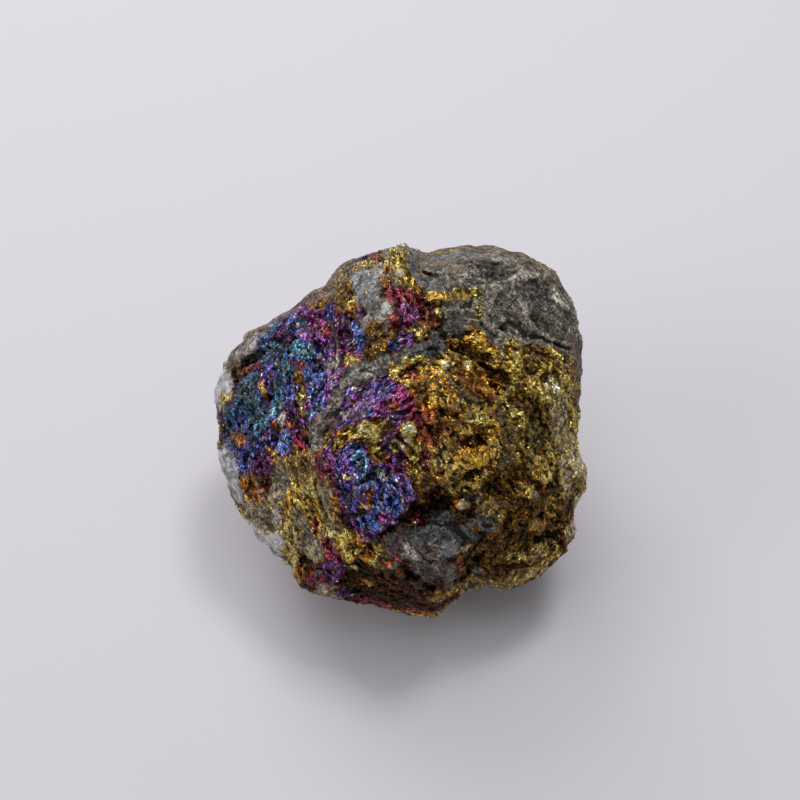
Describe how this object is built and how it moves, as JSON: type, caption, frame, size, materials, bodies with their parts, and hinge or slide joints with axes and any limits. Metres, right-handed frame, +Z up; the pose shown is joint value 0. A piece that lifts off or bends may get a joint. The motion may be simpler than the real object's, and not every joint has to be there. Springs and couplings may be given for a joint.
{
  "type": "peacock ore specimen",
  "caption": "Rough lump of tarnished chalcopyrite with grey rock and white quartz, worn flat where it rests.",
  "frame": {"origin": "on the surface that the stone rests on, under the middle of its box", "axes": "+X along the longest side, +Z up as the stone rests, -Y towards the low front of the coloured face"},
  "size_m": [0.0586, 0.055, 0.047],
  "materials": {
    "ore": "broken metallic ore, brass gold tarnished to orange, crimson, purple, blue and teal, with dull grey rock"
  },
  "bodies": {
    "root": {"peacock_ore": "ore"}
  },
  "joints": []
}
